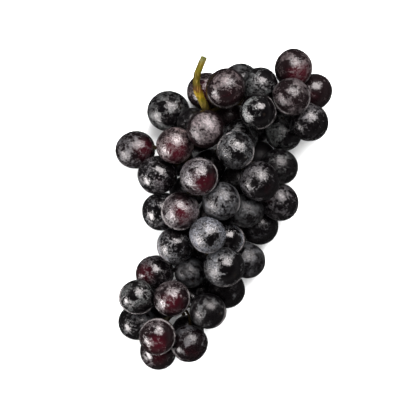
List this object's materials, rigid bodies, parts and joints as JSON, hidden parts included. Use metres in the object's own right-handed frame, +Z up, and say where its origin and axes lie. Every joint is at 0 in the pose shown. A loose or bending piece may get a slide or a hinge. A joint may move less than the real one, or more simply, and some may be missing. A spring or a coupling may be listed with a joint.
{
  "type": "bunch of grapes",
  "caption": "Long tapered bunch of dark table grapes with a shoulder, lying on its side with its stalk attached.",
  "frame": {"origin": "on the surface the bunch lies on, under the middle of its bounding box", "axes": "+Y towards the cut end of the stem, -Y towards the thin tip of the bunch, +X towards the broad shoulder, +Z up from the surface"},
  "size_m": [0.1258, 0.187, 0.0606],
  "materials": {
    "black_skin": "dark purple-black grape skin under a patchy waxy bloom, half gloss",
    "red_skin": "dark grape skin with wine-red areas under a patchy waxy bloom, half gloss",
    "green_stalk": "yellow-green fresh grape stalk with brown nodes, matt"
  },
  "bodies": {
    "root": {"stalk": "green_stalk", "berry_01": "red_skin", "berry_02": "black_skin", "berry_03": "black_skin", "berry_04": "black_skin", "berry_05": "red_skin", "berry_06": "black_skin", "berry_07": "black_skin", "berry_08": "black_skin", "berry_09": "black_skin", "berry_10": "black_skin", "berry_11": "black_skin", "berry_12": "black_skin", "berry_13": "black_skin", "berry_14": "red_skin", "berry_15": "red_skin", "berry_16": "black_skin", "berry_17": "black_skin", "berry_18": "black_skin", "berry_19": "black_skin", "berry_20": "red_skin", "berry_21": "black_skin", "berry_22": "black_skin", "berry_23": "black_skin", "berry_24": "red_skin", "berry_25": "black_skin", "berry_26": "black_skin", "berry_27": "black_skin", "berry_28": "black_skin", "berry_29": "black_skin", "berry_30": "black_skin", "berry_31": "black_skin", "berry_32": "black_skin", "berry_33": "black_skin", "berry_34": "black_skin", "berry_35": "black_skin", "berry_36": "black_skin", "berry_37": "red_skin", "berry_38": "black_skin", "berry_39": "black_skin", "berry_40": "black_skin", "berry_41": "black_skin", "berry_42": "red_skin", "berry_43": "red_skin", "berry_44": "red_skin", "berry_45": "black_skin", "berry_46": "black_skin", "berry_47": "black_skin", "berry_48": "black_skin", "berry_49": "black_skin", "berry_50": "black_skin", "berry_51": "black_skin", "berry_52": "black_skin", "berry_53": "black_skin", "berry_54": "black_skin", "berry_55": "black_skin", "berry_56": "black_skin", "berry_57": "black_skin", "berry_58": "black_skin", "berry_59": "black_skin"}
  },
  "joints": []
}
